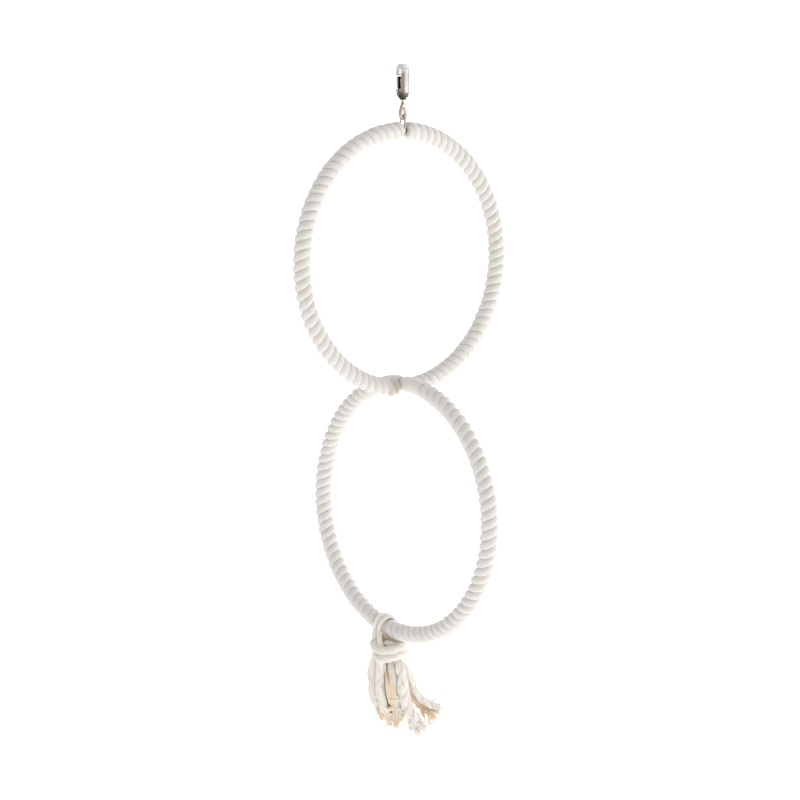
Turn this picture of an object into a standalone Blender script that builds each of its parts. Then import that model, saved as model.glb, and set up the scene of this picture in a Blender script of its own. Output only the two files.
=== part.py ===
"""Rope ring bird swing: two rope-wound wire hoops linked at right angles, on a swivel snap hook.

Metres, +Z up. The origin is on the inside of the snap hook's crown, above the swivel, where a
cage bar bears. The upper hoop lies in the XZ plane and the lower hoop in the YZ plane.
"""

import math

import bmesh
import bpy
import numpy as np
from mathutils import Matrix, Vector

MM = 0.001

# Clearances
GAP = 0.3 * MM
BORE_CLEARANCE = 0.45 * MM
GATE_TIP_CLEARANCE = 0.6 * MM
HITCH_CLEARANCE = 0.4 * MM
LEG_CLEARANCE = 0.45 * MM
COIL_CLEARANCE = 0.5 * MM

# Wire hoops
HOOP_RADIUS = 93.75 * MM
HOOP_WIRE = 2.5 * MM
HOOP_SEGMENTS = 60
HOOP_SIDES = 8

# Rope wound on the hoops, flattened where it is pulled tight
ROPE_WIDTH = 6.85 * MM
ROPE_HEIGHT = 4.75 * MM
ROPE_GROOVE = 0.9 * MM
ROPES_WOUND = 2
ROWS_PER_ROPE = 2
WINDING_SIDES = 10
BORE_STEP_DEG = 6.0
CROSSING_HALF_GAP = 7.2 * MM

# Smooth cotton bands on the lower hoop, beside the crossing
BAND_RADIUS = 5.95 * MM
BAND_LENGTH = 21.0 * MM
BAND_START = 2.0 * MM
BAND_ROWS = 8
BAND_END_DRAW = 0.12

# Snap hook: an extruded plate with rounded rims on a turned barrel
HOOK_HALF_WIDTH = 4.6 * MM
HOOK_THICKNESS = 5.0 * MM
HOOK_RIM = 1.1 * MM
CROWN_TOP = 3.4 * MM
CROWN_HEIGHT = 5.0 * MM
OPENING_RADIUS = 2.15 * MM
OPENING_SIDE = 0.95 * MM
OPENING_STRAIGHT = 10.5 * MM
NOSE_LENGTH = 5.65 * MM
BASE_LENGTH = 8.0 * MM
TAPER_START = 1.6 * MM
TAPER_LENGTH = 4.6 * MM
TAPER_HALF_WIDTH = 2.8 * MM
ARC_STEPS = 14

# Barrel and the swivel held in it
BARREL_TOP_RADIUS = 3.2 * MM
BARREL_BOTTOM_RADIUS = 2.5 * MM
BARREL_LENGTH = 5.4 * MM
BARREL_EDGE = 0.5 * MM
BARREL_FLOOR = 1.2 * MM
SHANK_RADIUS = 1.0 * MM
SWIVEL_HEAD_RADIUS = 1.75 * MM
SWIVEL_HEAD_HEIGHT = 1.2 * MM
TURNED_STEPS = 20

# Swivel eye, an egg-shaped wire loop
EYE_WIRE = 2.6 * MM
EYE_NECK = 2.9 * MM
EYE_LENGTH = 10.4 * MM
EYE_HALF_WIDTH = 2.1 * MM
EYE_EGG = 0.55
EYE_POINTS = 28

# Hanger loop round the upper hoop
HANGER_WIRE = 1.4 * MM
HANGER_LENGTH = 13.2 * MM
HANGER_HALF_WIDTH = 2.5 * MM
HANGER_ARC_STEPS = 8

# Gate, its pin and its wire spring
PIVOT_SIDE = 2.9 * MM
PIVOT_DROP = 2.0 * MM
GATE_THICKNESS = 4.4 * MM
KNUCKLE_RADIUS = 1.6 * MM
KNUCKLE_THICKNESS = 2.4 * MM
GATE_FOOT = 0.5 * MM
GATE_WALL = 0.4 * MM
GATE_CHANNEL_DEPTH = 0.9 * MM
GATE_SOLID_FOOT = 1.6 * MM
GATE_SOLID_TIP = 0.9 * MM
PIN_RADIUS = 0.65 * MM
PIN_HEAD_RADIUS = 1.25 * MM
PIN_HEAD_HEIGHT = 0.45 * MM
SPRING_WIRE = 0.6 * MM
SPRING_REACH = 6.0 * MM

# Tassel tied round the lower hoop's winding
TASSEL_ALONG = 20.5 * MM
NECK_SHIFT = 8.5 * MM
TASSEL_TURN_DEG = -40.8
HITCH_ROPE = 3.2 * MM
HITCH_SPACING = 4.9 * MM
SIDE_STRAND = 4.6 * MM
NECK_STRAND = 3.0 * MM
NECK_CIRCLE = 3.2 * MM
COLLAR_ROPE = 4.6 * MM
COLLAR_TURNS = 1.75
COLLAR_LEAD = 0.5
COLLAR_DROP = 3.55 * MM
STEPS_PER_LOOP = 24
TAIL_POINTS = 10
TAIL_END_SHARE = 0.85
AXIS_MARK = 10.0 * MM

# Derived fits
BORE_RADIUS = HOOP_WIRE / 2 + BORE_CLEARANCE
WINDING_CREST = BORE_RADIUS + ROPE_HEIGHT
WINDING_VALLEY = WINDING_CREST - ROPE_GROOVE
HANGER_HALF_GAP = HANGER_WIRE / 2 + GAP
OPENING_TOP = -math.sqrt(OPENING_RADIUS ** 2 - OPENING_SIDE ** 2)
OPENING_BOTTOM = OPENING_TOP - OPENING_STRAIGHT - OPENING_RADIUS
GATE_INNER = OPENING_SIDE + OPENING_RADIUS
NOSE_TIP = CROWN_TOP - CROWN_HEIGHT - NOSE_LENGTH + OPENING_RADIUS
GATE_TIP = NOSE_TIP - GATE_TIP_CLEARANCE
SHOULDER = OPENING_BOTTOM - GAP
PIVOT_Z = OPENING_BOTTOM - PIVOT_DROP
BARREL_BOTTOM = OPENING_BOTTOM - BASE_LENGTH
SLOT_HALF = KNUCKLE_THICKNESS / 2 + GAP
SLOT_INNER = PIVOT_SIDE - KNUCKLE_RADIUS - SPRING_WIRE - 2 * GAP
EYE_TOP = BARREL_BOTTOM - EYE_NECK
EYE_BOTTOM = EYE_TOP - EYE_LENGTH
HANGER_TOP = EYE_BOTTOM + EYE_WIRE / 2 + GAP + HANGER_WIRE / 2
HANGER_BOTTOM = HANGER_TOP - HANGER_LENGTH
UPPER_TOP = HANGER_BOTTOM + HANGER_WIRE / 2 + GAP + HOOP_WIRE / 2
UPPER_CENTRE = UPPER_TOP - HOOP_RADIUS
UPPER_BOTTOM = UPPER_CENTRE - HOOP_RADIUS
LOWER_CENTRE = UPPER_BOTTOM + HOOP_WIRE + GAP - HOOP_RADIUS
HITCH_RADIUS = WINDING_CREST + HITCH_CLEARANCE + HITCH_ROPE / 2
NECK_CORE = 2 * (NECK_CIRCLE - NECK_STRAND / 2 - GAP)
COLLAR_RADIUS = NECK_CIRCLE + NECK_STRAND / 2 + GAP + COLLAR_ROPE / 2
COLLAR_PITCH = COLLAR_ROPE + COIL_CLEARANCE

# A plane's local axes in the row frame: local Z is the plate's thickness
YZ_PLANE = Matrix(((0, 0, 1, 0), (1, 0, 0, 0), (0, 1, 0, 0), (0, 0, 0, 1)))
ALONG_X = Matrix.Rotation(math.radians(90), 4, "Y")


def start_scene():
    for obj in list(bpy.data.objects):
        bpy.data.objects.remove(obj)
    made = []
    for name in ("rope_ring_bird_swing", "cutters"):
        collection = bpy.data.collections.new(name)
        bpy.context.scene.collection.children.link(collection)
        made.append(collection)
    return made


PARTS, CUTTERS = start_scene()


def make_material(name, colour, roughness, metallic):
    material = bpy.data.materials.new(name)
    material.use_nodes = True
    shader = material.node_tree.nodes["Principled BSDF"]
    shader.inputs["Base Color"].default_value = (*colour, 1.0)
    shader.inputs["Roughness"].default_value = roughness
    shader.inputs["Metallic"].default_value = metallic
    return material


NICKEL = make_material("nickel", (0.72, 0.71, 0.69), 0.22, 1.0)
HOOP_STEEL = make_material("hoop_steel", (0.55, 0.54, 0.50), 0.4, 1.0)
SPRING_STEEL = make_material("spring_steel", (0.45, 0.45, 0.46), 0.35, 1.0)
COTTON = make_material("cotton_rope", (0.90, 0.87, 0.81), 0.95, 0.0)
BAND_COTTON = make_material("band_cotton", (0.93, 0.91, 0.86), 0.9, 0.0)
TAN_FIBRE = make_material("tan_fibre", (0.76, 0.57, 0.36), 0.95, 0.0)


def finish(obj, material):
    obj.data.materials.clear()
    obj.data.materials.append(material)
    if obj.type == "MESH":
        obj.data.shade_smooth()
        obj.data.set_sharp_from_angle(angle=math.radians(40))
    return obj


def link(name, data, collection):
    obj = bpy.data.objects.new(name, data)
    collection.objects.link(obj)
    if collection is CUTTERS:
        obj.hide_render = True
        obj.display_type = "WIRE"
    return obj


def mesh_object(name, bm, collection):
    mesh = bpy.data.meshes.new(name)
    bm.to_mesh(mesh)
    bm.free()
    return link(name, mesh, collection)


def baked(obj, collection):
    """The object's evaluated shape as a welded mesh in world space, in place of the object."""
    bpy.context.view_layer.update()
    graph = bpy.context.evaluated_depsgraph_get()
    mesh = bpy.data.meshes.new_from_object(obj.evaluated_get(graph))
    mesh.transform(obj.matrix_world)
    name = obj.name
    bpy.data.objects.remove(obj)
    bm = bmesh.new()
    bm.from_mesh(mesh)
    bpy.data.meshes.remove(mesh)
    bmesh.ops.remove_doubles(bm, verts=bm.verts, dist=1e-6)
    bmesh.ops.recalc_face_normals(bm, faces=bm.faces)
    return mesh_object(name, bm, collection)


def plate(name, outlines, thickness, collection):
    """A flat plate in the YZ plane, from closed outlines of (y, z) points."""
    curve = bpy.data.curves.new(name, "CURVE")
    curve.dimensions = "2D"
    curve.fill_mode = "BOTH"
    curve.extrude = thickness / 2
    for outline in outlines:
        spline = curve.splines.new("POLY")
        spline.points.add(len(outline) - 1)
        for point, (y, z) in zip(spline.points, outline):
            point.co = (y, z, 0, 1)
        spline.use_cyclic_u = True
    obj = link(name, curve, collection)
    obj.matrix_world = YZ_PLANE
    return baked(obj, collection)


def turned(name, profile, place, collection):
    """A shape turned about the local Z axis from (radius, z) points, listed top to bottom."""
    bm = bmesh.new()
    points = [bm.verts.new((radius, 0, z)) for radius, z in profile]
    for upper, lower in zip(points, points[1:]):
        bm.edges.new((upper, lower))
    obj = mesh_object(name, bm, collection)
    screw = obj.modifiers.new("turn", "SCREW")
    screw.steps = TURNED_STEPS
    screw.render_steps = TURNED_STEPS
    screw.use_merge_vertices = True
    screw.merge_threshold = 1e-5
    obj.matrix_world = place
    return baked(obj, collection)


def tube(name, points, diameter, collection, shares=None, closed=False, resolution=2):
    """A round wire or rope along points; shares scale its diameter point by point."""
    curve = bpy.data.curves.new(name, "CURVE")
    curve.dimensions = "3D"
    curve.bevel_depth = diameter / 2
    curve.bevel_resolution = resolution
    curve.use_fill_caps = not closed
    spline = curve.splines.new("POLY")
    spline.points.add(len(points) - 1)
    for index, place in enumerate(points):
        spline.points[index].co = (*place, 1)
        spline.points[index].radius = shares[index] if shares else 1.0
    spline.use_cyclic_u = closed
    return baked(link(name, curve, collection), collection)


def boolean(obj, cutter, operation, self_crossing=False):
    modifier = obj.modifiers.new(cutter.name, "BOOLEAN")
    modifier.operation = operation
    modifier.object = cutter
    modifier.use_self = self_crossing


def box_cutter(name, low, high):
    bm = bmesh.new()
    bmesh.ops.create_cube(bm, size=1.0)
    low, high = Vector(low), Vector(high)
    bmesh.ops.scale(bm, vec=high - low, verts=bm.verts)
    bmesh.ops.translate(bm, vec=(low + high) / 2, verts=bm.verts)
    return mesh_object(name, bm, CUTTERS)


def arc(centre, radius, start_deg, end_deg, steps):
    angles = (math.radians(start_deg + (end_deg - start_deg) * i / steps) for i in range(steps + 1))
    return [(centre[0] + radius * math.cos(a), centre[1] + radius * math.sin(a)) for a in angles]


def smooth_route(points, count):
    """Points spread evenly along a Catmull-Rom curve through the given points."""
    knots = [np.array(p, float) for p in points]
    knots = [2 * knots[0] - knots[1], *knots, 2 * knots[-1] - knots[-2]]
    fine = []
    for a, b, c, d in zip(knots, knots[1:], knots[2:], knots[3:]):
        for step in range(12):
            t = step / 12
            fine.append(0.5 * (2 * b + (c - a) * t + (2 * a - 5 * b + 4 * c - d) * t ** 2
                               + (3 * b - a - 3 * c + d) * t ** 3))
    fine.append(knots[-2])
    fine = np.array(fine)
    along = np.concatenate([[0], np.cumsum(np.linalg.norm(np.diff(fine, axis=0), axis=1))])
    at = np.linspace(0, along[-1], count)
    return [Vector([np.interp(s, along, fine[:, axis]) for axis in range(3)]) for s in at]


# Rings


class Ring:
    """A hoop's circle: sideways is its level direction and normal its axis."""

    def __init__(self, centre_z, sideways):
        self.centre = Vector((0, 0, centre_z))
        self.sideways = Vector(sideways)
        self.up = Vector((0, 0, 1))
        self.normal = self.up.cross(self.sideways)

    def outward(self, angle):
        return self.sideways * math.cos(angle) + self.up * math.sin(angle)

    def on_tube(self, along, radius, turn):
        """The point at a distance along the circle, off it by radius, turned about the wire."""
        out = self.outward(along / HOOP_RADIUS)
        offset = out * math.cos(turn) + self.normal * math.sin(turn)
        return self.centre + out * HOOP_RADIUS + offset * radius


UPPER = Ring(UPPER_CENTRE, (1, 0, 0))
LOWER = Ring(LOWER_CENTRE, (0, 1, 0))
QUARTER = HOOP_RADIUS * math.pi / 2


def hoop(name, ring):
    bpy.ops.mesh.primitive_torus_add(
        major_segments=HOOP_SEGMENTS, minor_segments=HOOP_SIDES,
        major_radius=HOOP_RADIUS, minor_radius=HOOP_WIRE / 2)
    obj = bpy.context.object
    obj.name = name
    for collection in obj.users_collection:
        collection.objects.unlink(obj)
    PARTS.objects.link(obj)
    turn = ring.normal.to_track_quat("Z", "Y").to_matrix().to_4x4()
    obj.data.transform(Matrix.Translation(ring.centre) @ turn)
    return finish(obj, HOOP_STEEL)


def sleeve(name, ring, start, end, skin, material):
    """A sleeve on a hoop's wire, from a grid that is rolled round the wire and back down its bore.

    skin lists (along, radius) for each outer row, and rows of one turn shift evenly round it.
    """
    steps = max(2, math.ceil(math.degrees((end - start) / HOOP_RADIUS) / BORE_STEP_DEG))
    bore = [(end + (start - end) * i / steps, BORE_RADIUS) for i in range(steps + 1)]
    rows = len(skin(0)) + len(bore)
    bm = bmesh.new()
    bmesh.ops.create_grid(bm, x_segments=rows, y_segments=WINDING_SIDES, size=1.0)
    columns = []
    for side in range(WINDING_SIDES + 1):
        outer = skin(side / WINDING_SIDES)
        columns.append([*outer, *bore, outer[0]])
    for vert in bm.verts:
        row = round((vert.co.x + 1) / 2 * rows)
        side = round((vert.co.y + 1) / 2 * WINDING_SIDES)
        along, radius = columns[side][row]
        vert.co = ring.on_tube(along, radius, 2 * math.pi * side / WINDING_SIDES)
    bmesh.ops.remove_doubles(bm, verts=bm.verts, dist=1e-6)
    bmesh.ops.dissolve_degenerate(bm, edges=bm.edges, dist=1e-7)
    bmesh.ops.recalc_face_normals(bm, faces=bm.faces)
    return finish(mesh_object(name, bm, PARTS), material)


def winding(name, ring, start, end):
    """Two ropes wound right-handed side by side from start to end: unbroken helical ridges over a bore."""
    ridges = round((end - start) / ROPE_WIDTH)
    step = (end - start) / ridges / ROWS_PER_ROPE
    lead = ROPES_WOUND * ROWS_PER_ROPE

    def skin(share):
        rows = []
        for row in range(-lead, ridges * ROWS_PER_ROPE + 1):
            along = start + (row + lead * share) * step
            inside = start < along < end
            radius = WINDING_CREST if inside and row % ROWS_PER_ROPE else WINDING_VALLEY
            rows.append((min(max(along, start), end), radius))
        return rows

    print(f"{name}: {ridges} ridges of {ROPES_WOUND} ropes, {(end - start) / ridges / MM:.2f} mm apart")
    return sleeve(name, ring, start, end, skin, COTTON)


def band(name, start, end):
    """A smooth cotton band over the lower hoop's wire, drawn in at both ends."""

    def skin(share):
        rows = []
        for row in range(BAND_ROWS + 1):
            along = row / BAND_ROWS
            drawn = BAND_END_DRAW * (2 * along - 1) ** 6
            rows.append((start + (end - start) * along, BAND_RADIUS * (1 - drawn)))
        return rows

    return sleeve(name, LOWER, start, end, skin, BAND_COTTON)


def make_rings():
    upper = [hoop("upper_hoop", UPPER)]
    top, bottom = QUARTER, 3 * QUARTER
    upper.append(winding("upper_winding_left", UPPER, top + HANGER_HALF_GAP, bottom - CROSSING_HALF_GAP))
    upper.append(winding("upper_winding_right", UPPER, bottom + CROSSING_HALF_GAP,
                         top + 4 * QUARTER - HANGER_HALF_GAP))
    lower = [hoop("lower_hoop", LOWER)]
    band_end = BAND_START + BAND_LENGTH
    lower.append(band("joint_band_far", top - band_end, top - BAND_START))
    lower.append(band("joint_band_near", top + BAND_START, top + band_end))
    lower.append(winding("lower_winding", LOWER, top + band_end + GAP, top + 4 * QUARTER - band_end - GAP))
    return upper, lower


# Snap hook and swivel


def hook_outline():
    """Crown, straight sides and a taper down to the barrel, as (y, z) points."""
    crown_base = CROWN_TOP - CROWN_HEIGHT
    crown = [(HOOK_HALF_WIDTH * c, crown_base + CROWN_HEIGHT * s)
             for c, s in arc((0, 0), 1.0, 0, 180, 2 * ARC_STEPS)]
    taper_top = OPENING_BOTTOM - TAPER_START
    taper = []
    for i in range(ARC_STEPS // 2 + 1):
        t = i / (ARC_STEPS // 2)
        ease = (1 - math.cos(math.pi * t)) / 2
        half = HOOK_HALF_WIDTH + (TAPER_HALF_WIDTH - HOOK_HALF_WIDTH) * ease
        taper.append((half, taper_top - TAPER_LENGTH * t))
    left = [(-y, z) for y, z in taper]
    return [*crown, *left, *reversed(taper)]


def opening_outline():
    top = arc((OPENING_SIDE, OPENING_TOP), OPENING_RADIUS, 0, 180, ARC_STEPS)
    bottom = arc((OPENING_SIDE, OPENING_TOP - OPENING_STRAIGHT), OPENING_RADIUS, 180, 360, ARC_STEPS)
    return [*top, *bottom]


def pin_cutter(name, radius, length):
    half = length / 2
    place = Matrix.Translation((0, PIVOT_SIDE, PIVOT_Z)) @ ALONG_X
    return turned(name, [(0, half), (radius, half), (radius, -half), (0, -half)], place, CUTTERS)


def make_hook_body(pin_hole):
    obj = plate("snap_hook_body", [hook_outline(), opening_outline()], HOOK_THICKNESS, PARTS)
    rim = obj.modifiers.new("rim", "BEVEL")
    rim.width = HOOK_RIM
    rim.segments = 2
    rim.limit_method = "ANGLE"
    rim.angle_limit = math.radians(60)
    barrel_top = BARREL_BOTTOM + BARREL_LENGTH
    barrel = turned("barrel", [
        (0, barrel_top), (BARREL_TOP_RADIUS - BARREL_EDGE, barrel_top),
        (BARREL_TOP_RADIUS, barrel_top - BARREL_EDGE), (BARREL_TOP_RADIUS, barrel_top - BARREL_LENGTH / 2),
        (BARREL_BOTTOM_RADIUS, BARREL_BOTTOM + BARREL_EDGE),
        (BARREL_BOTTOM_RADIUS - BARREL_EDGE, BARREL_BOTTOM), (0, BARREL_BOTTOM)], Matrix(), CUTTERS)
    boolean(obj, barrel, "UNION")
    floor = BARREL_BOTTOM + BARREL_FLOOR
    roof = floor + SWIVEL_HEAD_HEIGHT + 2 * GAP
    hole = SHANK_RADIUS + GAP
    chamber_radius = SWIVEL_HEAD_RADIUS + GAP
    chamber = turned("swivel_chamber", [
        (0, roof), (chamber_radius, roof), (chamber_radius, floor), (hole, floor),
        (hole, BARREL_BOTTOM - BARREL_EDGE), (0, BARREL_BOTTOM - BARREL_EDGE)], Matrix(), CUTTERS)
    boolean(obj, chamber, "DIFFERENCE")
    outside = 2 * HOOK_HALF_WIDTH
    gate_way = box_cutter("gate_way", (-HOOK_THICKNESS, OPENING_SIDE, SHOULDER),
                          (HOOK_THICKNESS, outside, NOSE_TIP))
    boolean(obj, gate_way, "DIFFERENCE")
    slot_floor = PIVOT_Z - KNUCKLE_RADIUS - 2 * GAP
    slot = box_cutter("knuckle_slot", (-SLOT_HALF, SLOT_INNER, slot_floor),
                      (SLOT_HALF, outside, OPENING_BOTTOM + OPENING_RADIUS / 2))
    boolean(obj, slot, "DIFFERENCE")
    boolean(obj, pin_hole, "DIFFERENCE")
    return finish(obj, NICKEL)


def make_gate(pin_hole):
    """A channel bar across the mouth, with a thin knuckle that turns in the body's slot."""
    foot = SHOULDER + GATE_FOOT
    bar = [(GATE_INNER, GATE_TIP), (GATE_INNER, foot), (HOOK_HALF_WIDTH, foot), (HOOK_HALF_WIDTH, GATE_TIP)]
    obj = plate("snap_hook_gate", [bar], GATE_THICKNESS, PARTS)
    rim = obj.modifiers.new("rim", "BEVEL")
    rim.width = (HOOK_HALF_WIDTH - GATE_INNER) / 4
    rim.segments = 2
    knuckle = arc((PIVOT_SIDE, PIVOT_Z), KNUCKLE_RADIUS, 180, 360, ARC_STEPS)
    neck_top = foot + GATE_SOLID_FOOT / 2
    tongue = (GATE_INNER + HOOK_HALF_WIDTH) / 2
    outline = [*knuckle, (tongue, neck_top), (GATE_INNER + GAP, neck_top), (GATE_INNER + GAP, foot)]
    boolean(obj, plate("knuckle", [outline], KNUCKLE_THICKNESS, CUTTERS), "UNION")
    boolean(obj, pin_hole, "DIFFERENCE")
    wide = GATE_THICKNESS / 2 - GATE_WALL
    channel = box_cutter("gate_channel", (-wide, OPENING_SIDE, foot + GATE_SOLID_FOOT),
                         (wide, GATE_INNER + GATE_CHANNEL_DEPTH, GATE_TIP - GATE_SOLID_TIP))
    boolean(obj, channel, "DIFFERENCE")
    return finish(obj, NICKEL)


def make_gate_pin():
    half = HOOK_THICKNESS / 2 + GAP
    end = half + PIN_HEAD_HEIGHT
    profile = [(0, end), (PIN_HEAD_RADIUS, end), (PIN_HEAD_RADIUS, half), (PIN_RADIUS, half),
               (PIN_RADIUS, -half), (PIN_HEAD_RADIUS, -half), (PIN_HEAD_RADIUS, -end), (0, -end)]
    place = Matrix.Translation((0, PIVOT_SIDE, PIVOT_Z)) @ ALONG_X
    return finish(turned("gate_pin", profile, place, PARTS), NICKEL)


def make_gate_spring():
    """A bent wire that stands in the slot behind the knuckle and leans on the gate."""
    back = SLOT_INNER + GAP + SPRING_WIRE / 2
    on_gate = GATE_INNER - GAP - SPRING_WIRE / 2
    rest = PIVOT_Z + SPRING_REACH
    route = [(0, back, PIVOT_Z - KNUCKLE_RADIUS), (0, back, PIVOT_Z + KNUCKLE_RADIUS / 2),
             (0, back, OPENING_BOTTOM), (0, (back + on_gate) / 2, (OPENING_BOTTOM + rest) / 2),
             (0, on_gate, rest), (0, on_gate - GAP, rest + SPRING_WIRE)]
    return finish(tube("gate_spring", smooth_route(route, 12), SPRING_WIRE, PARTS), SPRING_STEEL)


def make_swivel_eye():
    middle = (EYE_TOP + EYE_BOTTOM) / 2
    loop = []
    for i in range(EYE_POINTS):
        t = 2 * math.pi * i / EYE_POINTS
        egg = 1 - EYE_EGG * math.cos(t)
        loop.append(Vector((EYE_HALF_WIDTH * math.sin(t) * egg, 0, middle + EYE_LENGTH / 2 * math.cos(t))))
    obj = tube("swivel_eye", loop, EYE_WIRE, PARTS, closed=True)
    head_bottom = BARREL_BOTTOM + BARREL_FLOOR + GAP
    head_top = head_bottom + SWIVEL_HEAD_HEIGHT
    shank = turned("shank", [
        (0, head_top), (SWIVEL_HEAD_RADIUS, head_top), (SWIVEL_HEAD_RADIUS, head_bottom),
        (SHANK_RADIUS, head_bottom), (SHANK_RADIUS, EYE_TOP), (0, EYE_TOP)], Matrix(), CUTTERS)
    boolean(obj, shank, "UNION", self_crossing=True)
    return finish(obj, NICKEL)


def make_hanger_loop():
    upper = arc((0, HANGER_TOP - HANGER_HALF_WIDTH), HANGER_HALF_WIDTH, 0, 180, HANGER_ARC_STEPS)
    lower = arc((0, HANGER_BOTTOM + HANGER_HALF_WIDTH), HANGER_HALF_WIDTH, 180, 360, HANGER_ARC_STEPS)
    loop = [Vector((0, y, z)) for y, z in [*upper, *lower]]
    return finish(tube("hanger_loop", loop, HANGER_WIRE, PARTS, closed=True), NICKEL)


# Tassel


def below_ring(along):
    """The centre of the lower hoop's wire, at a distance along it from the lowest point."""
    return LOWER.centre + LOWER.outward(-math.pi / 2 + along / HOOP_RADIUS) * HOOP_RADIUS


TASSEL_CENTRE = below_ring(TASSEL_ALONG)
NECK_CENTRE = below_ring(TASSEL_ALONG - NECK_SHIFT)
COLLAR_TOP = NECK_CENTRE.z - HITCH_RADIUS - COLLAR_DROP

# Routes of the tails in millimetres: right and back as the tassel is looked at, and down from the
# collar's first turn. The two left tails start beside the collar, the others in the neck.
TAILS = {
    "tail_left_outer": (COTTON, 6.0, SIDE_STRAND, [
        (-12.6, -1.5, 3), (-13.2, -2, 8.5), (-14.6, -2.2, 15), (-15.1, -2.2, 24), (-14.5, -2, 35),
        (-12.1, -1.6, 44.5), (-7.3, -1.2, 52)]),
    "tail_left_front": (COTTON, 6.4, SIDE_STRAND, [
        (-8.3, -8.6, 3), (-8.6, -8.8, 8.5), (-9.2, -7.8, 15), (-9.3, -7.2, 24), (-8.7, -6.8, 35),
        (-6.3, -6.4, 45.5), (-2.1, -5.8, 53.5)]),
    "tail_left_tan": (TAN_FIBRE, 4.6, NECK_STRAND, [
        (-3.04, 0.99, 0.95), (-3.1, 1, 9.6), (-4.6, -0.4, 15.5), (-4.4, -3, 24), (-3.8, -2.8, 35),
        (-1.8, -2.4, 45.5), (1.9, -1.6, 54)]),
    "tail_middle": (COTTON, 6.0, NECK_STRAND, [
        (-1.88, -2.59, 0.95), (-1.9, -2.7, 9.6), (-0.6, -5, 16.5), (0.6, -6.6, 24), (1.1, -6.7, 35),
        (2.3, -6.5, 44.5), (5.1, -6, 52.5)]),
    "tail_middle_tan": (TAN_FIBRE, 4.4, NECK_CORE, [
        (0, 0, 0.95), (0, 0.2, 9.6), (1.2, 1.6, 17), (5.1, 2, 26), (11.1, 2.8, 36), (17.5, 4, 44),
        (23.7, 5.2, 49.5), (29.7, 5.6, 53)]),
    "tail_front": (COTTON, 7.4, NECK_STRAND, [
        (1.88, -2.59, 0.95), (2.2, -3, 9.6), (5.6, -7, 16.5), (7.5, -8.3, 24), (8.4, -8.3, 35),
        (11.2, -7.8, 45.5), (15.2, -7.2, 54.5), (20.4, -6.6, 63)]),
    "tail_right": (COTTON, 5.4, NECK_STRAND, [
        (3.04, 0.99, 2), (3.6, 0.8, 9), (8.1, -0.6, 16), (12.9, -0.6, 24), (16.1, -0.4, 34),
        (21.2, 0, 41.5), (27.7, 0.4, 46), (34.2, 0.8, 48.5)]),
    "tail_back": (COTTON, 5.6, NECK_STRAND, [
        (0, 3.2, 2), (0.2, 3.5, 9.6), (0.6, 7, 16.5), (2.3, 8.2, 27), (4.1, 8.2, 38.5),
        (6.3, 7.8, 48.5)]),
}

# Legs of the two ropes hitched over the winding, in the same measures from the lower end up: each
# near leg runs into the left tail named, and each far leg passes under the ring into the neck, to
# end just short of the tail named after it.
HITCHES = {
    "hitch_rope_left": (1, "tail_left_outer", [(-12.7, -1.3, 0.2), (-13.4, 0.4, -5.5)],
                        "tail_back", [(-0.1, 3.4, -1.5), (-0.3, 4.5, -3.7), (-0.9, 9.2, -4.6)]),
    "hitch_rope_right": (-1, "tail_left_front", [(-8.4, -8.3, 0.2), (-9.6, -5.0, -5.5)],
                         "tail_right", [(3.1, 1.3, -1.5), (3.15, 2.75, -4.0), (3.25, 6.0, -5.0)]),
}


def from_neck(point):
    """A point of the tassel, from the view-wise millimetres that its routes use."""
    right, back, down = (value * MM for value in point)
    offset = Matrix.Rotation(math.radians(TASSEL_TURN_DEG), 3, "Z") @ Vector((right, back, 0))
    return Vector((offset.x, NECK_CENTRE.y + offset.y, COLLAR_TOP - down))


def make_tail(name, material, width, neck_width, route):
    places = smooth_route([from_neck(point) for point in route], TAIL_POINTS)
    full = width * MM
    thin = neck_width / full
    neck_end = COLLAR_TOP - (COLLAR_TURNS - COLLAR_LEAD) * COLLAR_PITCH - COLLAR_ROPE / 2
    shares = []
    for index, place in enumerate(places):
        swell = min(max((neck_end - place.z) / (2 * COLLAR_ROPE), 0), 1)
        fade = TAIL_END_SHARE if index == len(places) - 1 else 1.0
        shares.append((thin + (1 - thin) * swell) * fade)
    return finish(tube(name, places, full, PARTS, shares), material)


def before_tail(name):
    """The end of a leg that runs into a tail, a clearance above the tail's own start."""
    return from_neck(TAILS[name][3][0]) + Vector((0, 0, LEG_CLEARANCE))


def make_hitch(name, side, near_tail, near_leg, far_tail, far_leg):
    """A rope folded over the winding, from its near leg's lower end to its far leg's."""
    along = TASSEL_ALONG + side * HITCH_SPACING / 2
    centre = below_ring(along)
    out = LOWER.outward(-math.pi / 2 + along / HOOP_RADIUS)
    over = []
    for turn in range(-100, 101, 20):
        sideways = Vector((HITCH_RADIUS * math.sin(math.radians(turn)), 0, 0))
        over.append(centre + sideways - out * HITCH_RADIUS * math.cos(math.radians(turn)))
    near = [before_tail(near_tail), *(from_neck(point) for point in near_leg)]
    far = [*(from_neck(point) for point in reversed(far_leg)), before_tail(far_tail)]
    places = smooth_route([*near, *over, *far], STEPS_PER_LOOP)
    shares = []
    for place in places:
        off_axis = math.hypot(place.x, place.y - NECK_CENTRE.y)
        in_neck = off_axis < COLLAR_RADIUS and place.z < TASSEL_CENTRE.z - WINDING_CREST
        shares.append(NECK_STRAND / HITCH_ROPE if in_neck else 1.0)
    return finish(tube(name, places, HITCH_ROPE, PARTS, shares), COTTON)


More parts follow.
